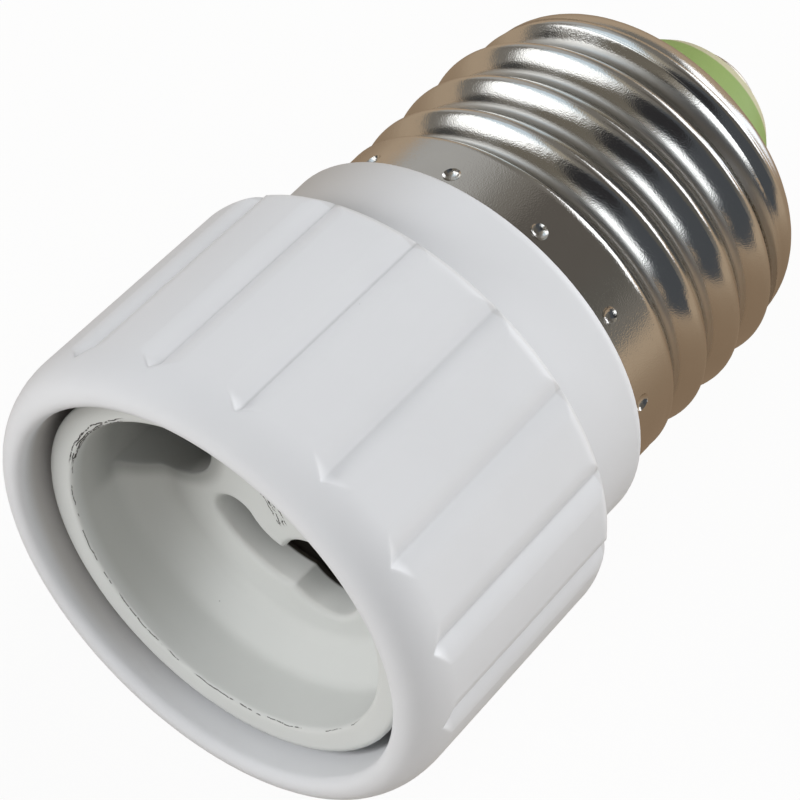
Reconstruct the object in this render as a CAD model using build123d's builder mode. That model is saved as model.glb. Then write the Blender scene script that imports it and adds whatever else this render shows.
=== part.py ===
from build123d import *
from math import cos, radians, sin
import os

# Lamp socket adapter: an Edison-screw cap at one end, a twist-lock pin socket at the other.
# The axis lies along Y. The socket's mouth faces -Y and the screw cap points to +Y.
# The origin is on the axis, where the screw shell meets the collar. A valley between two grip
# panels faces straight down, so the adapter lies steadily on those two panels.

# Driving dimensions of the housing, in millimetres
mouth_diameter = 34.1
grip_length = 19.9
collar_diameter = 28.4
collar_length = 6.6
collar_edge_radius = 0.9
panel_count = 16
lowest_valley_angle = -90.0
panel_draft = 0.46
valley_depth = 0.62
valley_half_width = 1.85
valley_full = 3.3
valley_run_out_radius = 1.6
valley_run_out_turn = 64.0
shoulder_lift = 0.006
cutter_height = 0.9
lip_bore_diameter = 28.8
lip_inner_round = 0.65
lip_flat = 0.1
lip_roundness = 3.3
back_edge_radius = 1.3
neck_bore_diameter = 20.4
neck_length = 14.8
lead_notch_width = 2.4
lead_notch_length = 4.0

# Driving dimensions of the screw cap
thread_pitch = 3.629
thread_diameter = 26.2
thread_depth = 1.05
thread_turned_from = 6.2
thread_turned_angle = 170.5
sheet = 0.3
band_length = 3.5
thread_ramp = 1.5
thread_end = 17.3
thread_end_drop = 0.7
shell_hole_diameter = 17.6
sections_per_turn = 12
dimple_count = 12
dimple_first_angle = 73.9
dimple_height = 1.2
dimple_ball_radius = 0.75
dimple_depth = 0.3

# Driving dimensions of the cone at the tip and its contact
cone_top_height = 26.4
cone_top_radius = 4.9
cone_top_round = 1.0
cone_wall = 2.0
skirt_diameter = 21.8
skirt_wall = 1.5
sleeve_radius = 2.6
sleeve_height = 16.5
nail_shank_radius = 1.15
nail_head_radius = 3.4
nail_head_height = 1.35
nail_head_round = 0.45
nail_end_height = 17.0

# Driving dimensions of the socket insert, as depths below the mouth
rim_depth = 2.1
wall_depth = 6.1
floor_depth = 8.3
ledge_depth = 13.5
block_depth = 18.0
insert_diameter = 27.4
cup_diameter = 23.8
floor_diameter = 19.8
rim_round = 0.25
cup_corner_radius = 1.2
block_diameter = 23.2
plate_thickness = 2.6
socket_angle = 84.5
pin_circle_radius = 5.0
slot_width = 3.1
slot_end_turn = -43.0
entry_turn = 41.0
entry_radius = 3.0
keyhole_round = 0.35
pocket_inner = 0.6
pocket_outer = 7.0
pocket_entry_side = 6.4
pocket_slot_side = 5.2
pocket_round = 2.5

# Driving dimensions of the screws, contacts and leads
screw_circle_radius = 9.65
screw_shank_radius = 1.25
screw_length = 8.0
screw_head_radius = 2.2
screw_head_height = 1.6
screw_head_chamfer = 0.5
screw_slot_width = 0.7
screw_slot_depth = 0.7
recess_radius = 3.7
recess_floor = 2.0
boss_radius = 3.0
boss_length = 8.2
strip = 0.4
strip_width = 5.0
strip_bend = 0.9
leaf_depth = 12.1
leaf_reach = 4.6
tab_length = 2.2
lead_radius = 0.8
lead_line_bend = 10.0
lead_line_leaves_wall = -1.0
lead_line_meets_axis = 8.5
lead_neutral_bend = 8.0
lead_neutral_leaves_wall = 2.0
lead_neutral_middle = (7.6, 9.6)
lead_neutral_end = (11.5, 13.7)

# Clearances
insert_clearance = 0.3
neck_clearance = 0.15
hole_clearance = 0.2
contact_gap = 0.05

# Places along the axis
mouth = -(grip_length + collar_length)
grip_back = -collar_length
ledge = mouth + ledge_depth
floor = mouth + floor_depth
block_back = mouth + block_depth
recess_bottom = ledge - recess_floor

# Radii that follow from the driving dimensions
mouth_radius = mouth_diameter / 2
collar_radius = collar_diameter / 2
lip_bore_radius = lip_bore_diameter / 2
lip_nose_radius = lip_bore_radius + lip_inner_round
neck_bore_radius = neck_bore_diameter / 2
thread_radius = thread_diameter / 2
band_inner_radius = thread_radius - sheet
root_inner_radius = band_inner_radius - thread_depth
block_radius = block_diameter / 2
insert_radius = insert_diameter / 2
end_radius = thread_radius - thread_end_drop
shell_hole_radius = shell_hole_diameter / 2
shell_end_radius = end_radius - shell_hole_radius
shell_length = thread_end + shell_end_radius
skirt_radius = skirt_diameter / 2
panel_step = 360 / panel_count


def across(height):
    """A plane square to the axis, facing the mouth, with X and Z as its directions."""
    return Plane.XZ.offset(-height)


def along(angle):
    """A plane through the axis: its first direction points out at the angle, its second along the axis."""
    outward = (cos(radians(angle)), 0, sin(radians(angle)))
    return Plane(origin=(0, 0, 0), x_dir=outward, z_dir=Vector(*outward).cross(Vector(0, 1, 0)))


def polar(radius, angle):
    """A point of a cross-section, by its radius and its angle from X towards Z."""
    return (radius * cos(radians(angle)), radius * sin(radians(angle)))


def turned(out, side, angle):
    """A point of a cross-section, given outwards at the angle and to the side of it."""
    turn = radians(angle)
    return (out * cos(turn) - side * sin(turn), out * sin(turn) + side * cos(turn))


def crown_radius(height):
    """How far out the grip panels lie, narrowing with the draft."""
    return mouth_radius - panel_draft * (height - mouth) / grip_length


os.makedirs("parts", exist_ok=True)

# Housing: a fluted, drafted grip with rounded ends, a collar, and a hollow neck for the screw shell
lip_end = mouth + lip_roundness
back_start = grip_back - back_edge_radius
neck_band_radius = band_inner_radius - neck_clearance
neck_thread_radius = root_inner_radius - neck_clearance
lower_bore_radius = block_radius + 2 * insert_clearance
lower_bore_end = block_back + 2 * insert_clearance
stake_depth = dimple_depth + neck_clearance

# The cutter for one valley between two panels: rounded shoulders that meet in a sharp floor.
# It follows the draft from the back, and rises out of the grip in an arc behind the lip.
valley_start = (crown_radius(0) - valley_depth, 0)
valley_end = (crown_radius(mouth + valley_full) - valley_depth, mouth + valley_full)
shoulder_drop = mouth_radius - (mouth_radius**2 - valley_half_width**2) ** 0.5
shoulder_height = valley_depth - shoulder_drop + shoulder_lift
shoulder_slope = valley_half_width / mouth_radius

with BuildPart() as valley_cutter:
    with BuildLine(along(lowest_valley_angle)):
        run = Line(valley_start, valley_end)
        JernArc(run @ 1, run % 1, valley_run_out_radius, valley_run_out_turn)
    with BuildSketch(across(0)):
        with BuildLine():
            foot = turned(valley_start[0], 0, lowest_valley_angle)
            left = turned(valley_start[0] + shoulder_height, -valley_half_width, lowest_valley_angle)
            right = turned(valley_start[0] + shoulder_height, valley_half_width, lowest_valley_angle)
            top_left = turned(valley_start[0] + cutter_height, -valley_half_width, lowest_valley_angle)
            top_right = turned(valley_start[0] + cutter_height, valley_half_width, lowest_valley_angle)
            TangentArc(left, foot, tangent=turned(shoulder_slope, 1, lowest_valley_angle))
            TangentArc(right, foot, tangent=turned(shoulder_slope, -1, lowest_valley_angle))
            Polyline(left, top_left, top_right, right)
        make_face()
    sweep()

with BuildPart() as housing:
    with BuildSketch(Plane.XY):
        with BuildLine():
            lip = EllipticalCenterArc(
                (lip_nose_radius + lip_flat, lip_end),
                crown_radius(lip_end) - lip_nose_radius - lip_flat,
                lip_roundness,
                start_angle=-90,
                arc_size=90,
            )
            back_corner = (crown_radius(back_start) - back_edge_radius, back_start)
            back = CenterArc(back_corner, back_edge_radius, 0, 90)
            Line(lip @ 1, back @ 0)
            Polyline(back @ 1, (0, grip_back), (0, mouth), lip @ 0)
        make_face()
    revolve(axis=Axis.Y)
    for index in range(panel_count):
        add(valley_cutter.part, rotation=(0, index * panel_step, 0), mode=Mode.SUBTRACT)
    with BuildSketch(Plane.XY):
        with BuildLine():
            collar_corner = (collar_radius - collar_edge_radius, -collar_edge_radius)
            collar_edge = CenterArc(collar_corner, collar_edge_radius, 0, 90)
            Polyline(collar_edge @ 1, (0, 0), (0, grip_back), (collar_radius, grip_back), collar_edge @ 0)
        make_face()
        with BuildLine():
            Polyline(
                (0, 0),
                (neck_band_radius, 0),
                (neck_band_radius, band_length),
                (neck_thread_radius, band_length),
                (neck_thread_radius, neck_length),
                (0, neck_length),
                close=True,
            )
        make_face()
    revolve(axis=Axis.Y)
    # The groove that takes the shell's punched dimples
    with BuildSketch(Plane.XY):
        with Locations((neck_band_radius, dimple_height)):
            Rectangle(2 * stake_depth, 2 * dimple_ball_radius)
    revolve(axis=Axis.Y, mode=Mode.SUBTRACT)
    # The stepped bore: lip, ledge, room for the insert's block, and the way through the neck
    with BuildSketch(Plane.XY):
        with BuildLine():
            lip_edge = CenterArc((lip_nose_radius, mouth + lip_inner_round), lip_inner_round, 180, 90)
            Polyline(
                lip_edge @ 0,
                (lip_bore_radius, ledge),
                (lower_bore_radius, ledge),
                (lower_bore_radius, lower_bore_end),
                (neck_bore_radius, lower_bore_end),
                (neck_bore_radius, neck_length),
                (0, neck_length),
                (0, mouth),
                lip_edge @ 1,
            )
        make_face()
    revolve(axis=Axis.Y, mode=Mode.SUBTRACT)
    # Two bosses for the fixing screws, joined to the wall
    with BuildSketch(across(ledge)):
        with PolarLocations(screw_circle_radius, 2, start_angle=socket_angle - 90):
            Circle(boss_radius)
        Circle(lower_bore_radius + insert_clearance, mode=Mode.INTERSECT)
    extrude(amount=-boss_length)
    with BuildSketch(across(ledge)):
        with PolarLocations(screw_circle_radius, 2, start_angle=socket_angle - 90):
            Circle(screw_shank_radius + contact_gap)
    extrude(amount=-(screw_length - recess_floor + insert_clearance), mode=Mode.SUBTRACT)
    # The notch in the neck's end that lets the lead out to the shell
    with BuildSketch(across(neck_length)):
        with Locations(polar(neck_bore_radius, socket_angle + 180)):
            Rectangle(4 * (neck_thread_radius - neck_bore_radius), lead_notch_width, rotation=socket_angle)
    extrude(amount=lead_notch_length, mode=Mode.SUBTRACT)

housing.part.label = "housing"
export_step(housing.part, "parts/housing.step")


def in_keyhole(edge):
    """Whether an edge of the floor belongs to a keyhole, and not to the floor's rim."""
    middle = edge @ 0.5
    from_axis = Vector(middle.X, 0, middle.Z).length
    return from_axis < pin_circle_radius + entry_radius + contact_gap


# Socket insert: a cup that rests on the housing's ledge, over a block with two contact pockets
with BuildPart() as socket_insert:
    with BuildSketch(Plane.XY):
        with BuildLine():
            Polyline(
                (0, floor),
                (floor_diameter / 2, floor),
                (cup_diameter / 2, mouth + wall_depth),
                (cup_diameter / 2, mouth + rim_depth),
                (insert_radius, mouth + rim_depth),
                (insert_radius, ledge),
                (block_radius, ledge),
                (block_radius, block_back),
                (0, block_back),
                close=True,
            )
        make_face()
    revolve(axis=Axis.Y)
    rim_edges = socket_insert.edges().filter_by(GeomType.CIRCLE).group_by(Axis.Y)[0]
    fillet(rim_edges, rim_round)
    cup_corners = socket_insert.edges().filter_by(GeomType.CIRCLE)
    fillet(cup_corners.filter_by_position(Axis.Y, mouth + wall_depth, floor), cup_corner_radius)
    # Room for the bosses, below the cup's underside
    with BuildSketch(across(ledge)):
        with PolarLocations(screw_circle_radius, 2, start_angle=socket_angle - 90):
            Circle(boss_radius + insert_clearance)
    extrude(amount=-(block_back - ledge), mode=Mode.SUBTRACT)
    # Two keyholes: a round entry for the pin's head and a curved slot to turn it along
    with BuildSketch(across(floor)):
        for facing in (socket_angle, socket_angle + 180):
            slot_end = facing + slot_end_turn
            with BuildLine(mode=Mode.PRIVATE):
                path = CenterArc((0, 0), pin_circle_radius, slot_end, entry_turn - slot_end_turn)
            SlotArc(path, slot_width)
            with Locations(polar(pin_circle_radius, facing + entry_turn)):
                Circle(entry_radius)
    extrude(amount=-plate_thickness, mode=Mode.SUBTRACT)
    keyhole_edges = socket_insert.edges().filter_by_position(Axis.Y, floor, floor)
    fillet(keyhole_edges.filter_by(in_keyhole), keyhole_round)
    # Recesses for the screw heads, cut down the cup's wall, and the screw holes
    with BuildSketch(across(recess_bottom)):
        with PolarLocations(screw_circle_radius, 2, start_angle=socket_angle - 90):
            Circle(recess_radius)
        Circle(cup_diameter / 2, mode=Mode.INTERSECT)
    extrude(amount=recess_bottom - mouth, mode=Mode.SUBTRACT)
    with BuildSketch(across(recess_bottom)):
        with PolarLocations(screw_circle_radius, 2, start_angle=socket_angle - 90):
            Circle(screw_shank_radius + hole_clearance)
    extrude(amount=-recess_floor, mode=Mode.SUBTRACT)
    # Pockets behind the keyholes, open at the back
    pocket_width = pocket_entry_side + pocket_slot_side
    pocket_shift = (pocket_entry_side - pocket_slot_side) / 2
    pocket_middle = (pocket_outer + pocket_inner) / 2
    with BuildSketch(across(floor + plate_thickness)):
        for facing in (socket_angle, socket_angle + 180):
            with Locations(turned(pocket_middle, pocket_shift, facing)):
                RectangleRounded(pocket_outer - pocket_inner, pocket_width, pocket_round, rotation=facing)
    extrude(amount=-(block_depth - floor_depth - plate_thickness), mode=Mode.SUBTRACT)

socket_insert.part.label = "socket_insert"
export_step(socket_insert.part, "parts/socket_insert.step")

# Fixing screws: pan heads with one driver slot, seated in the insert's recesses
with BuildPart() as fixing_screws:
    with BuildSketch(across(recess_bottom)):
        with PolarLocations(screw_circle_radius, 2, start_angle=socket_angle - 90):
            Circle(screw_head_radius)
    extrude(amount=screw_head_height)
    chamfer(fixing_screws.edges().filter_by(GeomType.CIRCLE).group_by(Axis.Y)[0], screw_head_chamfer)
    with BuildSketch(across(recess_bottom)):
        with PolarLocations(screw_circle_radius, 2, start_angle=socket_angle - 90):
            Circle(screw_shank_radius)
    extrude(amount=-screw_length)
    with BuildSketch(across(recess_bottom - screw_head_height)):
        with PolarLocations(screw_circle_radius, 2, start_angle=socket_angle - 90):
            Rectangle(2 * screw_head_radius, screw_slot_width)
    extrude(amount=-screw_slot_depth, mode=Mode.SUBTRACT)

fixing_screws.part.label = "fixing_screws"
export_step(fixing_screws.part, "parts/fixing_screws.step")


def contact_profile():
    """A bent strip: a tab behind the block, a leg on the pocket's outer wall, a leaf under the keyhole."""
    leg = pocket_outer - contact_gap - strip / 2
    leaf = mouth + leaf_depth + strip / 2
    tab_end = block_back + tab_length
    leaf_end = leg - leaf_reach
    with BuildSketch() as profile:
        with BuildLine():
            FilletPolyline((leg, tab_end), (leg, leaf), (leaf_end, leaf), radius=strip_bend)
        trace(line_width=strip)
    return profile.sketch


# Contacts: one bent strip behind each keyhole
with BuildPart() as contact_line:
    with BuildSketch(along(socket_angle)):
        add(contact_profile())
    extrude(amount=strip_width / 2, both=True)

contact_line.part.label = "contact_line"
export_step(contact_line.part, "parts/contact_line.step")

with BuildPart() as contact_neutral:
    with BuildSketch(along(socket_angle + 180)):
        add(contact_profile())
    extrude(amount=strip_width / 2, both=True)

contact_neutral.part.label = "contact_neutral"
export_step(contact_neutral.part, "parts/contact_neutral.step")

# Leads: insulated wires from the contacts' tabs, as distances out from the axis and along it
tab_side = pocket_outer - 2 * contact_gap - strip - lead_radius
lead_start = block_back + contact_gap
with BuildPart() as lead_line:
    with BuildLine(along(socket_angle)):
        FilletPolyline(
            (tab_side, lead_start),
            (tab_side, lead_line_leaves_wall),
            (0, lead_line_meets_axis),
            (0, nail_end_height),
            radius=lead_line_bend,
        )
    with BuildSketch(across(lead_start)):
        with Locations(polar(tab_side, socket_angle)):
            Circle(lead_radius)
    sweep()

lead_line.part.label = "lead_line"
export_step(lead_line.part, "parts/lead_line.step")

with BuildPart() as lead_neutral:
    with BuildLine(along(socket_angle + 180)):
        FilletPolyline(
            (tab_side, lead_start),
            (tab_side, lead_neutral_leaves_wall),
            lead_neutral_middle,
            lead_neutral_end,
            radius=lead_neutral_bend,
        )
    with BuildSketch(across(lead_start)):
        with Locations(polar(tab_side, socket_angle + 180)):
            Circle(lead_radius)
    sweep()

lead_neutral.part.label = "lead_neutral"
export_step(lead_neutral.part, "parts/lead_neutral.step")

# Screw shell: a plain band, a rolled round thread of even sheet, and an end turned in to a hole
section_count = round((thread_end - band_length) / thread_pitch * sections_per_turn)


def thread_offset(height):
    """How far the cross-section's centre leaves the axis: nothing at both ends, half the depth between."""
    rise = min(1, (height - band_length) / thread_ramp, (thread_end - height) / thread_ramp)
    return thread_depth / 2 * rise * rise * (3 - 2 * rise)


def thread_angle(height):
    """The side on which the right-handed thread's crest lies at this height."""
    return thread_turned_angle - 360 * (height - thread_turned_from) / thread_pitch


def crest_radius(height):
    """The crest's reach, which narrows a little over the last turn."""
    last_turn = max(0, 1 - (thread_end - height) / thread_pitch)
    return thread_radius - thread_end_drop * last_turn * last_turn


dimple_places = []
for index in range(dimple_count):
    out, up = polar(
        thread_radius + dimple_ball_radius - dimple_depth,
        dimple_first_angle + index * 360 / dimple_count,
    )
    dimple_places.append((out, dimple_height, up))

# The sheet that the punch has pushed in behind each dimple
with BuildPart() as dimple_backs:
    with Locations(*dimple_places):
        Sphere(dimple_ball_radius + sheet, rotation=(90, 0, 0))
    with BuildSketch(across(band_length)):
        Circle(thread_radius - sheet / 2)
    extrude(amount=band_length, mode=Mode.INTERSECT)

with BuildPart() as screw_shell:
    for index in range(section_count + 1):
        height = band_length + (thread_end - band_length) * index / section_count
        reach = thread_offset(height)
        with BuildSketch(across(height)):
            with Locations(polar(reach, thread_angle(height))):
                Circle(crest_radius(height) - reach)
                Circle(crest_radius(height) - reach - sheet, mode=Mode.SUBTRACT)
    loft()
    with BuildSketch(Plane.XY):
        with Locations((thread_radius - sheet / 2, band_length / 2)):
            Rectangle(sheet, band_length)
    revolve(axis=Axis.Y)
    with BuildSketch(Plane.XY):
        with BuildLine():
            outside = CenterArc((shell_hole_radius, thread_end), shell_end_radius, 0, 90)
            inside = CenterArc((shell_hole_radius, thread_end), shell_end_radius - sheet, 0, 90)
            Line(outside @ 0, inside @ 0)
            Line(outside @ 1, inside @ 1)
        make_face()
    revolve(axis=Axis.Y)
    # Punched dimples that stake the shell to the neck
    add(dimple_backs.part)
    with Locations(*dimple_places):
        Sphere(dimple_ball_radius, rotation=(90, 0, 0), mode=Mode.SUBTRACT)

screw_shell.part.label = "screw_shell"
export_step(screw_shell.part, "parts/screw_shell.step")

# Tip insulator: a hollow cone on a skirt, held between the neck's end and the shell's end
cone_base_radius = shell_hole_radius - contact_gap
cone_base_height = shell_length + hole_clearance
cone_slope = (cone_top_height - cone_base_height) / (cone_base_radius - cone_top_radius)
cone_inside_top = cone_top_height - cone_wall
skirt_top = shell_length - sheet
skirt_round = skirt_radius - shell_hole_radius
skirt_inner_radius = skirt_radius - skirt_wall
skirt_inside_top = cone_inside_top - (skirt_inner_radius - cone_top_radius) * cone_slope
nail_hole_radius = nail_shank_radius + contact_gap

with BuildPart() as tip_insulator:
    with BuildSketch(Plane.XY):
        with BuildLine():
            corner = CenterArc((skirt_radius - skirt_round, skirt_top - skirt_round), skirt_round, 0, 90)
            Polyline(
                corner @ 1,
                (cone_base_radius, skirt_top),
                (cone_base_radius, cone_base_height),
                (cone_top_radius, cone_top_height),
                (nail_hole_radius, cone_top_height),
                (nail_hole_radius, sleeve_height),
                (sleeve_radius, sleeve_height),
                (sleeve_radius, cone_inside_top),
                (cone_top_radius, cone_inside_top),
                (skirt_inner_radius, skirt_inside_top),
                (skirt_inner_radius, neck_length),
                (skirt_radius, neck_length),
                corner @ 0,
            )
        make_face()
    revolve(axis=Axis.Y)
    cone_circles = tip_insulator.edges().filter_by(GeomType.CIRCLE).group_by(Axis.Y)[-1]
    fillet(cone_circles.sort_by(SortBy.RADIUS)[-1], cone_top_round)

tip_insulator.part.label = "tip_insulator"
export_step(tip_insulator.part, "parts/tip_insulator.step")

# Centre contact: a round-edged rivet through the cone's tip
nail_tip = cone_top_height + nail_head_height
with BuildPart() as centre_contact:
    with BuildSketch(Plane.XY):
        with BuildLine():
            head_corner = (nail_head_radius - nail_head_round, nail_tip - nail_head_round)
            head_edge = CenterArc(head_corner, nail_head_round, 0, 90)
            Polyline(
                head_edge @ 1,
                (0, nail_tip),
                (0, nail_end_height),
                (nail_shank_radius, nail_end_height),
                (nail_shank_radius, cone_top_height),
                (nail_head_radius, cone_top_height),
                head_edge @ 0,
            )
        make_face()
    revolve(axis=Axis.Y)

centre_contact.part.label = "centre_contact"
export_step(centre_contact.part, "parts/centre_contact.step")
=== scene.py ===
# %% [markdown]
# A lamp socket adapter in white plastic and nickel, dressed for its portrait.
# The imported model comes in first and stays fixed: the mouth, the rim and the floor are read from it, in
# metres.
# The axis of the adapter lies along Y. The socket's mouth faces -Y and the screw cap points to +Y.

# %% Load the model
from math import cos, pi, radians, sin

import bmesh
import bpy
from mathutils import Matrix, Vector


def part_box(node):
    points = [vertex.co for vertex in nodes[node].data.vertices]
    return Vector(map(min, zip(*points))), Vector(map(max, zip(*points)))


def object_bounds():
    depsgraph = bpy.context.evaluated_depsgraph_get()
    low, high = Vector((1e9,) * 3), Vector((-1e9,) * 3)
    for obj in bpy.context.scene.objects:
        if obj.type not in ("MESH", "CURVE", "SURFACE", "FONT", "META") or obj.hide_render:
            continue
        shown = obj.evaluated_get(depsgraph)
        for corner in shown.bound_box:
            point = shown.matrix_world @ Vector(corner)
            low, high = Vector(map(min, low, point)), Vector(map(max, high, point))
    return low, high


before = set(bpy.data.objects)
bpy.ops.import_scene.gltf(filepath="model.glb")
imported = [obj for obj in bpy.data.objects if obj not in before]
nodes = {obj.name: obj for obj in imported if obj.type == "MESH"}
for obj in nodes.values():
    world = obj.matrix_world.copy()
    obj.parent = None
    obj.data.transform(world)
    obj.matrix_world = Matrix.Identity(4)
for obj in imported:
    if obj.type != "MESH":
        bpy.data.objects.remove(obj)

cad_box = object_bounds()
mm = 0.001
print("pieces:", ", ".join(sorted(nodes)))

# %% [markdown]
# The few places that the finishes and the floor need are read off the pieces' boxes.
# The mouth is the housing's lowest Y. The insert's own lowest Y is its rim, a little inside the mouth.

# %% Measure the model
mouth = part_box("housing")[0].y
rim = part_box("socket_insert")[0].y
floor_height = cad_box[0].z
print(f"mouth at {mouth / mm:.2f} mm, rim at {rim / mm:.2f} mm, floor at {floor_height / mm:.2f} mm")

# %% [markdown]
# A finish is a small tree of nodes. Linking sockets by hand is slow to read, so one class wraps a
# socket: sums on it add Math nodes, and its node method makes any other node in one line.

# %% A socket that can be used in sums


class Wire:
    """One output socket. Arithmetic on it adds Math nodes to the same tree."""

    def __init__(self, tree, socket=None):
        self.tree = tree
        self.socket = socket

    def node(self, kind, settings=None, values=None, output=0):
        """Adds a node: its settings first, then the values or links of its sockets."""
        made = self.tree.nodes.new(kind)
        for name, setting in (settings or {}).items():
            setattr(made, name, setting)
        for name, value in (values or {}).items():
            if isinstance(value, Wire):
                self.tree.links.new(value.socket, made.inputs[name])
            else:
                made.inputs[name].default_value = value
        return Wire(self.tree, made.outputs[output])

    def maths(self, operation, first, second=0.0):
        return self.node("ShaderNodeMath", {"operation": operation}, {0: first, 1: second})

    def __add__(self, other):
        return self.maths("ADD", self, other)

    def __radd__(self, other):
        return self.maths("ADD", other, self)

    def __sub__(self, other):
        return self.maths("SUBTRACT", self, other)

    def __rsub__(self, other):
        return self.maths("SUBTRACT", other, self)

    def __mul__(self, other):
        return self.maths("MULTIPLY", self, other)

    def __rmul__(self, other):
        return self.maths("MULTIPLY", other, self)

    def __truediv__(self, other):
        return self.maths("DIVIDE", self, other)

    def __rtruediv__(self, other):
        return self.maths("DIVIDE", other, self)

    def __pow__(self, other):
        return self.maths("POWER", self, other)

    def __rpow__(self, other):
        return self.maths("POWER", other, self)

    def __abs__(self):
        return self.maths("ABSOLUTE", self)

    def least(self, other):
        return self.maths("MINIMUM", self, other)

    def most(self, other):
        return self.maths("MAXIMUM", self, other)

    def between(self, low, high):
        """0 at low, 1 at high, and a smooth step in between. Low may be the larger of the two."""
        return self.node(
            "ShaderNodeMapRange",
            {"interpolation_type": "SMOOTHSTEP"},
            {"Value": self, "From Min": low, "From Max": high},
        )

    def band(self, middle, half, soft):
        """1 within half of the middle, fading to 0 over the soft width."""
        return abs(self - middle).between(half + soft, half)


print("sums on sockets: + - * / ** abs, least, most, between and band")

# %% [markdown]
# Every finish starts the same way: a Principled shader, and the piece's own Object coordinates.
# The adapter is round about Y, so the radius and the angle round the axis are worked out once.
# Noise sizes are given as the size of one blotch in millimetres, which is easier to judge than a scale.
# Moulded edges have a small round that the model leaves out, so a relief can also soften the look of edges.

# %% A blank finish
degrees_per_radian = 180 / pi


class Finish(Wire):
    """A new material, with the places on the piece that its patterns follow."""

    def __init__(self, name, **plain):
        self.material = bpy.data.materials.new(name)
        self.material.use_nodes = True
        super().__init__(self.material.node_tree)
        self.shader = self.tree.nodes["Principled BSDF"]
        for socket, value in plain.items():
            self.shader.inputs[socket.replace("_", " ")].default_value = value
        self.place = self.node("ShaderNodeTexCoord", output=3)
        self.x = self.node("ShaderNodeSeparateXYZ", None, {0: self.place}, 0)
        self.y = self.node("ShaderNodeSeparateXYZ", None, {0: self.place}, 1)
        self.z = self.node("ShaderNodeSeparateXYZ", None, {0: self.place}, 2)
        self.radius = self.maths("SQRT", self.x * self.x + self.z * self.z)
        self.angle = self.maths("ARCTAN2", self.z, self.x) * degrees_per_radian

    def blotches(self, size_mm, detail=2.0, roughness=0.5, shift_mm=0.0):
        """Soft noise from 0 to 1, with blotches of about this size."""
        values = {"Vector": self.place, "Location": (shift_mm * mm, shift_mm * mm, shift_mm * mm)}
        place = self.node("ShaderNodeMapping", None, values)
        values = {"Vector": place, "Scale": 1 / (size_mm * mm), "Detail": detail, "Roughness": roughness}
        return self.node("ShaderNodeTexNoise", None, values)

    def specks(self, spacing_mm, share, size_mm):
        """1 inside small round specks, in the share of the cells that hold one."""
        values = {"Vector": self.place, "Scale": 1 / (spacing_mm * mm)}
        distance = self.node("ShaderNodeTexVoronoi", None, values, 0) * spacing_mm
        cell_colour = self.node("ShaderNodeTexVoronoi", None, values, 1)
        lot = self.node("ShaderNodeSeparateColor", None, {0: cell_colour})
        return distance.between(size_mm, 0.6 * size_mm) * lot.between(share, share - 0.01)

    def tint(self, share, first, second):
        """Mixes two colours, or wires that carry colours, by a share from 0 to 1."""
        first, second = ((*c, 1) if isinstance(c, tuple) else c for c in (first, second))
        return self.node("ShaderNodeMix", {"data_type": "RGBA"}, {0: share, 6: first, 7: second}, 2)

    def feed(self, socket, value):
        """Feeds a value that changes over the surface to one of the shader's sockets."""
        self.tree.links.new(value.socket, self.shader.inputs[socket])

    def relief(self, height, depth_mm, edge_mm=0.0):
        """Raises the surface by a height map in millimetres, and softens the look of its edges."""
        values = {"Height": height, "Distance": depth_mm * mm}
        if edge_mm:
            values["Normal"] = self.node("ShaderNodeBevel", {"samples": 6}, {"Radius": edge_mm * mm})
        self.feed("Normal", self.node("ShaderNodeBump", None, values))


def darker(colour, share):
    """The same colour with a share of its light taken away."""
    return tuple(part * (1 - share) for part in colour)


def dress(node, finish):
    """Gives a piece of the model its finish."""
    slots = nodes[node].data.materials
    for index in range(len(slots)):
        slots[index] = finish.material
    print(f"{node}: {finish.material.name}")


print("blank finish ready")

# %% [markdown]
# The housing is a white, slightly cool moulding with a soft gloss. Up close it has a faint ripple
# from the mould, uneven gloss from handling, and a few dark specks burnt into the plastic. Painted
# shade darkens the groove between the lip and the insert, mostly on one side, and a thin line of painted
# shade dulls the rounded back edge of the grip. A painted picture would do this too, but masks worked
# out from the radius and the distance from the mouth stay sharp at any size.

# %% White plastic of the housing
body_white = (0.69, 0.70, 0.72)
speck_grey = (0.10, 0.09, 0.08)
# Painted shade: a warm brown for the groove inside the mouth and the grip's back edge.
painted_shade_brown = (0.30, 0.27, 0.23)
groove_radius = 13.2
back_edge_height = -6.9

housing_plastic = Finish("housing_plastic", IOR=1.47)
ripple = housing_plastic.blotches(size_mm=1.6, detail=2.0)
handling = housing_plastic.blotches(size_mm=7.0, detail=3.0)
specks = housing_plastic.specks(spacing_mm=3.2, share=0.30, size_mm=0.075)
inside_mouth = ((housing_plastic.y - mouth) / mm).between(0.3, 1.6)
in_groove = (housing_plastic.radius / mm).band(groove_radius, half=1.6, soft=0.6) * inside_mouth
shaded_groove_side = (housing_plastic.x / mm).between(0, -12)
back_edge = (housing_plastic.y / mm).band(back_edge_height, half=0.25, soft=0.2)
shade = housing_plastic.tint(handling.between(0.35, 0.7), body_white, darker(body_white, 0.02))
# Painted shade: a thin dark line on the grip's rounded back edge, and a darker groove on one side of the
# mouth.
shade = housing_plastic.tint(back_edge * 0.16, shade, painted_shade_brown)
shade = housing_plastic.tint(in_groove * shaded_groove_side * 0.55, shade, painted_shade_brown)
housing_plastic.feed("Base Color", housing_plastic.tint(specks * 0.75, shade, speck_grey))
housing_plastic.feed("Roughness", 0.42 + handling * 0.1)
housing_plastic.relief(ripple, depth_mm=0.004, edge_mm=0.35)
dress("housing", housing_plastic)

# %% [markdown]
# The insert is a duller white. Lamps have been pushed in and out of it: their metal edges left a broken
# black hairline round the inner edge of its rim, and a tangle of strokes on one side. Each stroke is a
# thin band round the corner of the rim that wanders with noise and breaks up.

# %% Strokes on the rim of the socket insert
insert_white = (0.64, 0.655, 0.64)
scuff_black = (0.03, 0.027, 0.025)
rim_edge = 11.9

insert_plastic = Finish("insert_plastic", IOR=1.45)
depth = (insert_plastic.y - rim) / mm
corner = depth - (insert_plastic.radius / mm - rim_edge)
crumbs = insert_plastic.blotches(size_mm=0.3, detail=3.0, roughness=0.65)


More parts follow.
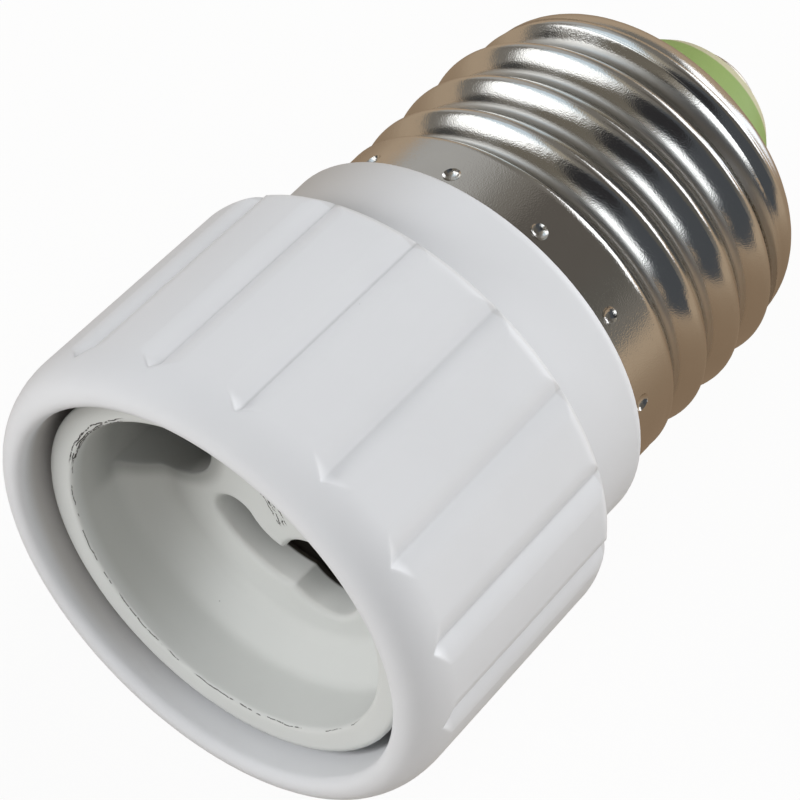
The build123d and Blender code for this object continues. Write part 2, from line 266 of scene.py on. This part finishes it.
def stroke(middle, half_width, gap):
    """A hairline at this distance from the rim's inner edge, broken where the noise is below the gap."""
    shift = 20 * middle
    wander = insert_plastic.blotches(1.6, 3.0, 0.6, shift) - 0.5
    breaks = insert_plastic.blotches(1.1, 2.0, 0.5, shift + 7)
    line = (corner - middle - wander * 0.5).band(0.0, half_width, 0.03)
    return line * breaks.between(gap, gap + 0.06) * crumbs.between(0.36, 0.46)


near_half = insert_plastic.angle.band(-103, half=73, soft=8)
round_the_rim = near_half.most(insert_plastic.angle.band(178, half=12, soft=4))
tangle_side = insert_plastic.angle.band(153, half=17, soft=6)
tangle = ((-0.32, 0.03), (-0.16, 0.035), (0.0, 0.05), (0.12, 0.03))
scuffs = stroke(0.02, 0.03, gap=0.46) * round_the_rim * 0.85
for middle, half_width in tangle:
    scuffs = scuffs.most(stroke(middle, half_width, gap=0.36) * tangle_side)
print("strokes on the rim:", 1 + len(tangle))

# %% [markdown]
# A pin of a lamp has also scratched the floor of the insert beside the keyholes. A few lines that run
# side by side, wander and break up read as scratches. They are laid out in a small turned frame of
# their own, so that one angle turns all of them.

# %% Scratches on the floor of the insert
floor_below_rim = 6.2
scratch_x = -0.9
scratch_z = -0.05
scratch_turn = radians(-50)
scratch_places = (-0.36, -0.14, 0.1, 0.32)

from_x = insert_plastic.x / mm - scratch_x
from_z = insert_plastic.z / mm - scratch_z
lengthwise = from_x * cos(scratch_turn) + from_z * sin(scratch_turn)
sideways = from_z * cos(scratch_turn) - from_x * sin(scratch_turn)
on_patch = lengthwise.band(0, half=1.0, soft=0.4) * depth.band(floor_below_rim, half=0.1, soft=0.1)
for middle in scratch_places:
    shift = 30 * middle
    wander = insert_plastic.blotches(0.7, 3.0, 0.6, shift) - 0.5
    breaks = insert_plastic.blotches(0.4, 2.0, 0.5, shift + 5)
    scratch = (sideways - middle - wander * 0.8).band(0.0, half=0.03, soft=0.03)
    scuffs = scuffs.most(scratch * breaks.between(0.4, 0.48) * on_patch)
print("scratches on the floor:", len(scratch_places))

# %% [markdown]
# Painted shade darkens the side of the cup that lies away from the light, and most of all the recess of
# the fixing screw. Painted light brightens the walls of the keyholes, and a painted shadow makes what lies
# behind the plate dark. Each of these is a mask from the depth below the rim and the place across the
# floor, because the moulding is one piece and has one material.

# %% Worn white of the socket insert, with painted shade and light
recess_x = -9.6
recess_z = 0.9
# Colours of painted shade, painted shadow and painted light in the cup.
painted_shade_grey = (0.36, 0.36, 0.33)
painted_shadow_dark = (0.035, 0.03, 0.025)
painted_keyhole_light = (0.82, 0.83, 0.81)

cloud = insert_plastic.blotches(size_mm=5.0, detail=3.0)
grime = insert_plastic.specks(spacing_mm=1.8, share=0.2, size_mm=0.06)
grain = insert_plastic.blotches(size_mm=0.5, detail=3.0)
below_floor = depth.between(floor_below_rim + 0.05, floor_below_rim + 0.4)
x_mm = insert_plastic.x / mm
z_mm = insert_plastic.z / mm
lit_keyhole_wall = below_floor * (insert_plastic.radius / mm).between(8.2, 7.6) * depth.between(8.6, 6.6)
shaded_cup_side = x_mm.between(-2, -10) * depth.between(0.2, 1.2)
from_recess = insert_plastic.maths("SQRT", (x_mm - recess_x) ** 2.0 + (z_mm - recess_z) ** 2.0)
shaded_recess = from_recess.between(5.0, 3.9) * depth.between(0.8, 4.0)
shadow_behind_plate = depth.between(8.35, 8.55)

# Painted light on the keyhole walls, painted shade on the far side of the cup and in the screw's recess,
# and a painted shadow behind the plate.
shade = insert_plastic.tint(cloud, insert_white, darker(insert_white, 0.05))
shade = insert_plastic.tint(lit_keyhole_wall, shade, painted_keyhole_light)
shade = insert_plastic.tint(shaded_cup_side * 0.5, shade, painted_shade_grey)
shade = insert_plastic.tint(shaded_recess * 0.45, shade, darker(painted_shade_grey, 0.75))
shade = insert_plastic.tint(shadow_behind_plate, shade, painted_shadow_dark)
insert_plastic.feed("Base Color", insert_plastic.tint(scuffs.most(grime * 0.6), shade, scuff_black))
insert_plastic.feed("Roughness", 0.48 + grain * 0.12)
insert_plastic.relief(grain, depth_mm=0.004, edge_mm=0.5)
dress("socket_insert", insert_plastic)

# %% [markdown]
# The shell is nickel-plated brass sheet, rolled into a thread. Rolled sheet is rounder over the crest of
# the thread than in its root. A wave of two and of three humps to a turn, laid along the thread, gives
# the reflections that rounder crest. The count of turns grows along the axis and round it, so any wave
# of it follows the thread.

# %% Rounder crest of the thread
thread_pitch = 3.629
crest_side = 170.5
crest_height = 6.2
thread_start = 3.5
run_out_start = 15.8
run_out_end = 17.3
last_crest = 3.12
two_humps = 0.040
three_humps = 0.026

nickel = Finish("nickel_plate", Metallic=1.0)
height = nickel.y / mm
round_axis = (nickel.angle - crest_side) / 360
turns = round_axis + (height - crest_height) / thread_pitch
held_turns = turns.least(last_crest)
off_seam = nickel.angle.between(-100, -50) * nickel.angle.between(178, 150)
three_wave = nickel.maths("COSINE", held_turns * (6 * pi)) * three_humps
two_wave = nickel.maths("COSINE", held_turns * (4 * pi)) * two_humps
runs_on = height.between(run_out_end, run_out_start).most(off_seam)
rounder = (three_wave - two_wave) * height.between(thread_start, thread_start + 1.5) * runs_on
print(f"thread: pitch {thread_pitch} mm, crest at {crest_side} degrees and {crest_height} mm")

# %% [markdown]
# The model's thread fades out before the shoulder. On the real shell the last crest keeps its height
# until the sheet turns in, so the relief gives back what the model takes away there: the fade, the
# narrowing of the last turn and the start of the shoulder. Past the last crest the relief stays level.
# The angle jumps from 180 to -180 on one side, so the relief is off near that seam.

# %% Last crest of the thread
thread_reach = 0.525
end_drop = 0.7
shoulder_radius = 3.6

held_height = (held_turns - round_axis) * thread_pitch + crest_height
past_end = held_height - run_out_end
faded = held_height.between(run_out_start, run_out_end)
hollow = (1 - nickel.maths("COSINE", held_turns * (2 * pi))) * thread_reach * faded
last_turn = (past_end / thread_pitch + 1).most(0.0).least(1.0)
shoulder = past_end.most(0.0) ** 2.0 / (2 * shoulder_radius)
full_crest = (last_turn ** 2.0 * end_drop + shoulder - hollow) * off_seam
print(f"last crest: {last_crest} turns up the thread")

# %% [markdown]
# Plating is a mirror with a fine tooth, so the finish is full metal with a low roughness, and the tooth
# is a small relief that breaks reflections into grain. The roots of the thread are never polished, so
# they are rougher; they are also a little brown, partly tarnish and partly painted shade.

# %% Nickel of the screw shell
nickel_grey = (0.76, 0.74, 0.70)
root_tarnish_and_shade = (0.24, 0.21, 0.17)

smear = nickel.blotches(size_mm=3.0, detail=3.0)
plain_band = height.between(4.4, 3.6)
tooth = nickel.blotches(size_mm=0.10, detail=1.0) * (0.007 + plain_band * 0.006)
on_thread = height.between(3.8, 4.8) * height.between(17.2, 16.6)
root = nickel.maths("COSINE", turns * (2 * pi)).between(-0.6, -0.9) * on_thread
shade = nickel.tint(smear, nickel_grey, darker(nickel_grey, 0.08))
# The brown in the roots is partly tarnish, partly painted shade.
nickel.feed("Base Color", nickel.tint(root * 0.2, shade, root_tarnish_and_shade))
nickel.feed("Roughness", 0.08 + smear * 0.06 + root * 0.3)
nickel.relief(full_crest + rounder + tooth, depth_mm=1.0)
dress("screw_shell", nickel)

# %% [markdown]
# The cone at the tip is a lime-green moulding, and the rivet through it is plated in a warm white metal.
# A cream ring round the cone's end is a painted highlight; it starts at one height all round, so a mask
# from the height is enough.

# %% Green cone and centre contact
cone_green = (0.22, 0.325, 0.09)
painted_highlight_cream = (0.47, 0.45, 0.30)
rivet_cream = (0.80, 0.75, 0.66)

cone_plastic = Finish("cone_plastic", IOR=1.46)
cloud = cone_plastic.blotches(size_mm=3.0, detail=2.0)
shade = cone_plastic.tint(cloud, cone_green, darker(cone_green, 0.1))
# Painted highlight: a cream ring round the end of the cone.
painted_highlight_ring = (cone_plastic.y / mm).between(25.2, 25.45)
cone_plastic.feed("Base Color", cone_plastic.tint(painted_highlight_ring, shade, painted_highlight_cream))
cone_plastic.feed("Roughness", 0.4 + cloud * 0.12)
dress("tip_insulator", cone_plastic)

contact_metal = Finish("contact_metal", Metallic=1.0)
smear = contact_metal.blotches(size_mm=0.8, detail=3.0)
contact_metal.feed("Base Color", contact_metal.tint(smear, rivet_cream, darker(rivet_cream, 0.2)))
contact_metal.feed("Roughness", 0.22 + smear * 0.2)
dress("centre_contact", contact_metal)

# %% [markdown]
# Behind the keyholes sit the spring strips, the fixing screws and the leads. They are half in the dark,
# so they get plain worn metals and a rubber cover.

# %% Metal and rubber inside
strip_grey = (0.24, 0.20, 0.16)
lead_red = (0.30, 0.035, 0.03)

strip_metal = Finish("strip_metal", Metallic=1.0)
smear = strip_metal.blotches(size_mm=1.5, detail=3.0)
strip_metal.feed("Base Color", strip_metal.tint(smear, strip_grey, darker(strip_grey, 0.3)))
strip_metal.feed("Roughness", 0.3 + smear * 0.2)
for name in ("contact_line", "contact_neutral", "fixing_screws"):
    dress(name, strip_metal)

lead_rubber = Finish("lead_rubber")
cloud = lead_rubber.blotches(size_mm=2.0, detail=2.0)
lead_rubber.feed("Base Color", lead_rubber.tint(cloud, lead_red, darker(lead_red, 0.25)))
lead_rubber.feed("Roughness", 0.55 + cloud * 0.2)
for name in ("lead_line", "lead_neutral"):
    dress(name, lead_rubber)

# %% [markdown]
# The camera looks into the mouth from above. Its place is worked out from the object: the angle
# between the axis and the line of sight, the side of the grip that is nearest, and how far the
# axis leans in the picture.

# %% Camera
picture_width = 800
nearest_side = radians(67.5)
sight_to_axis = radians(59.06)
axis_lean = radians(44.69)
camera_distance = 0.308
pixels_per_metre = 15972
aim_along_axis = -6.9 * mm
aim_right = 0.147 * mm
aim_up = 0.340 * mm

axis = Vector((0, 1, 0))
near_side = Vector((cos(nearest_side), 0, sin(nearest_side)))
across = Vector((sin(nearest_side), 0, -cos(nearest_side)))
back = -cos(sight_to_axis) * axis + sin(sight_to_axis) * near_side
along = (axis + cos(sight_to_axis) * back) / sin(sight_to_axis)
right = cos(axis_lean) * along + sin(axis_lean) * across
up = sin(axis_lean) * along - cos(axis_lean) * across

camera_data = bpy.data.cameras.new("camera")
camera = bpy.data.objects.new("camera", camera_data)
bpy.context.scene.collection.objects.link(camera)
camera_data.sensor_width = 36
camera_data.lens = camera_data.sensor_width * pixels_per_metre * camera_distance / picture_width
camera_data.clip_start = 0.01
camera_data.clip_end = 20
aim = axis * aim_along_axis + right * aim_right + up * aim_up
turn = Matrix((right, up, back)).transposed()
camera.matrix_world = Matrix.Translation(aim + back * camera_distance) @ turn.to_4x4()
bpy.context.scene.camera = camera
print(f"camera {camera_distance:.2f} m away, lens {camera_data.lens:.0f} mm")

# %% [markdown]
# The studio is a pale floor under soft boxes. The background is white because the floor and the world
# shine at strength 1 for the rays that come from the camera and off gloss. Part of the floor stays an
# ordinary surface, so the adapter keeps a faint shadow.

# %% Floor
floor_pale = (0.72, 0.70, 0.67, 1)
floor_half_size = 6.0
shadow_share = 0.06


def seen_directly(wire):
    """1 for rays from the camera, off gloss or through glass, and 0 for the light that bounces."""
    seen = wire.node("ShaderNodeLightPath", output=0)
    for output in (3, 6):
        seen = seen.most(wire.node("ShaderNodeLightPath", output=output))
    return seen


def flat_sheet(name, half_size):
    """A mesh with one square face."""
    mesh = bpy.data.meshes.new(name)
    shape = bmesh.new()
    bmesh.ops.create_grid(shape, x_segments=1, y_segments=1, size=half_size)
    shape.to_mesh(mesh)
    shape.free()
    return mesh


floor_mesh = flat_sheet("floor", floor_half_size)
floor = bpy.data.objects.new("floor", floor_mesh)
bpy.context.scene.collection.objects.link(floor)
floor.location.z = floor_height
floor_finish = Finish("pale_floor", Base_Color=floor_pale, Roughness=0.9, Specular_IOR_Level=0.0)
glow = floor_finish.node("ShaderNodeEmission", None, {"Color": (1, 1, 1, 1), "Strength": 1.0})
share = seen_directly(floor_finish) * (1 - shadow_share)
matte = Wire(floor_finish.tree, floor_finish.shader.outputs[0])
surface = floor_finish.node("ShaderNodeMixShader", None, {0: share, 1: matte, 2: glow})
floor_finish.tree.links.new(surface.socket, floor_finish.tree.nodes["Material Output"].inputs[0])
floor_mesh.materials.append(floor_finish.material)
print(f"floor at {floor_height / mm:.2f} mm")

# %% [markdown]
# The world adds a little light from all sides, as the walls of a white studio do.

# %% World
ambient = 0.17

world = bpy.data.worlds.new("studio")
bpy.context.scene.world = world
world.use_nodes = True
sky = Wire(world.node_tree)
strength = ambient + seen_directly(sky) * (1 - ambient)
background = world.node_tree.nodes["Background"]
background.inputs["Color"].default_value = (1, 1, 1, 1)
world.node_tree.links.new(strength.socket, background.inputs["Strength"])
print(f"world: ambient {ambient}")

# %% [markdown]
# Bright metal shows the room. In a studio that is a brown table, a grey wall, a dark camera and bright
# soft boxes, so a large dome with those patches stands round the set, and a table top lies on the floor.
# Only gloss sees them: they cast no light and no shade. Directions are given as on a compass: the
# azimuth is 0 on the mouth's side and 90 towards +X, and the elevation is 0 on the horizon.

# %% What only gloss sees


def only_in_gloss(name, mesh, colour_of):
    """A glowing surface that shows in reflections and nowhere else."""
    card = bpy.data.objects.new(name, mesh)
    bpy.context.scene.collection.objects.link(card)
    finish = Finish(name)
    glow = finish.node("ShaderNodeEmission", None, {"Color": colour_of(finish), "Strength": 1.0})
    finish.tree.links.new(glow.socket, finish.tree.nodes["Material Output"].inputs[0])
    mesh.materials.append(finish.material)
    card.visible_camera = False
    card.visible_diffuse = False
    card.visible_shadow = False
    card.visible_transmission = False
    print(f"{name}: seen in gloss only")
    return card


def toward(azimuth, elevation):
    """The direction from the adapter to a place in the room."""
    turn, rise = radians(azimuth), radians(elevation)
    return Vector((sin(turn) * cos(rise), -cos(turn) * cos(rise), sin(rise)))


print("straight ahead of the mouth:", tuple(toward(0, 0)))

# %% [markdown]
# Each patch is a rectangle on the dome with soft edges, and it may lean, as a door seen from the side
# does. Its row gives the azimuth and elevation of its middle, its lean, half its width, half its height
# and its soft edge, all in degrees, and then its colour. A later row covers an earlier one.

# %% Dome of the room
room_radius = 2.0
wall_grey = (0.198, 0.187, 0.171)
table_far = (0.46, 0.36, 0.26)
room_patches = {
    "grey wall on the left": (-122, 27, -9, 8, 19, 20, (0.445, 0.445, 0.44)),
    "shelf over the left box": (-23, 65, -33, 29, 6, 14, (0.39, 0.36, 0.30)),
    "left soft box": (-59, 51, -7, 28, 10, 12, (0.72, 0.85, 0.97)),
    "bright edge of the left box": (-41, 49, 25, 38, 3, 13, (1.9, 1.95, 2.0)),
    "ceiling": (20, 57, 11, 47, 9, 12, (0.17, 0.155, 0.13)),
    "dark coat behind the camera": (61, 35, 5, 25, 34, 18, (0.075, 0.083, 0.095)),
    "camera": (26, 56, -10, 12, 6, 9, (0.03, 0.03, 0.033)),
    "dark chair on the left": (-57, 6, 0, 11, 7, 6, (0.06, 0.06, 0.06)),
    "right soft box": (30, 20, -51, 9, 3, 15, (1.9, 2.0, 2.1)),
    "door on the right": (125, 38, 21, 23, 16, 8, (0.12, 0.115, 0.105)),
    "window behind": (166, 8, 40, 14, 18, 8, (1.9, 1.95, 2.05)),
    "dark beam behind": (149, 54, 21, 21, 13, 5, (0.12, 0.11, 0.10)),
}


def patch_share(finish, azimuth, elevation, lean, half_width, half_height, soft):
    """1 inside a leaning rectangle on the dome, with soft edges. All sizes are in degrees."""
    side = toward(azimuth + 90, 0)
    rise = toward(azimuth, elevation + 90)
    lean = radians(lean)
    along_side = cos(lean) * side + sin(lean) * rise
    along_rise = cos(lean) * rise - sin(lean) * side
    reach = []
    for direction in (toward(azimuth, elevation), along_side, along_rise):
        values = {0: finish.place, 1: direction}
        reach.append(finish.node("ShaderNodeVectorMath", {"operation": "DOT_PRODUCT"}, values, 1))
    sideways = finish.maths("ARCTAN2", reach[1], reach[0]) * degrees_per_radian
    upward = finish.maths("ARCSINE", reach[2] / room_radius) * degrees_per_radian
    return sideways.band(0, half_width, soft) * upward.band(0, half_height, soft)


def room_colour(finish):
    """The dome's colour: a grey wall above the table, with each patch laid over it."""
    elevation = finish.maths("ARCSINE", finish.z / room_radius) * degrees_per_radian
    colour = finish.tint(elevation.between(-1, 1), table_far, wall_grey)
    for *shape, shade in room_patches.values():
        colour = finish.tint(patch_share(finish, *shape), colour, shade)
    return colour


room_mesh = bpy.data.meshes.new("room")
shape = bmesh.new()
bmesh.ops.create_uvsphere(shape, u_segments=96, v_segments=48, radius=room_radius)
shape.to_mesh(room_mesh)
shape.free()
only_in_gloss("room", room_mesh, room_colour)

# %% [markdown]
# The lower flanks of the metal show the table: brown wood that is darker near the adapter, a dark cloth
# on one side and a sheet of white paper behind. The table lies a hair above the floor, so that gloss
# meets it first.

# %% Table top
table_near = (0.27, 0.19, 0.125)
cloth_dark = (0.075, 0.083, 0.095)
paper_white = (1.3, 1.37, 1.5)
table_lift = 0.05 * mm


def table_colour(finish):
    """Brown wood, darker where the adapter keeps the light off."""
    distance = finish.maths("SQRT", finish.x * finish.x + finish.y * finish.y)
    azimuth = finish.maths("ARCTAN2", finish.x, 0 - finish.y) * degrees_per_radian
    cloth = azimuth.band(68, half=10, soft=8) * distance.between(0.07, 0.11)
    paper = azimuth.band(172, half=3, soft=4) * distance.between(0.055, 0.085)
    wood = finish.tint(distance.between(0.01, 0.12), table_near, table_far)
    return finish.tint(paper, finish.tint(cloth, wood, cloth_dark), paper_white)


table = only_in_gloss("table", flat_sheet("table", room_radius), table_colour)
table.location.z = floor_height + table_lift

# %% [markdown]
# Large soft boxes light the set from the same sides, so the white plastic is lit evenly. They don't show
# in gloss, because the room already has their reflections.

# %% Soft boxes
lamp_distance = 0.7


def soft_box(name, azimuth, elevation, size, power):
    """A square lamp that faces the adapter."""
    data = bpy.data.lights.new(name, "AREA")
    data.size = size
    data.energy = power
    lamp = bpy.data.objects.new(name, data)
    bpy.context.scene.collection.objects.link(lamp)
    direction = toward(azimuth, elevation)
    lamp.location = direction * lamp_distance
    lamp.rotation_mode = "QUATERNION"
    lamp.rotation_quaternion = direction.to_track_quat("Z", "Y")
    lamp.visible_camera = False
    lamp.visible_glossy = False
    print(f"{name}: {power} W")


soft_box("front_box", azimuth=-40, elevation=20, size=0.3, power=2.9)
soft_box("side_box", azimuth=100, elevation=20, size=0.4, power=0.75)
soft_box("overhead_box", azimuth=32, elevation=52, size=0.5, power=1.45)
soft_box("rear_box", azimuth=165, elevation=30, size=0.5, power=4.5)

# %% [markdown]
# The picture keeps Blender's plain view.

# %% Finish
bpy.context.scene.view_settings.view_transform = "Standard"
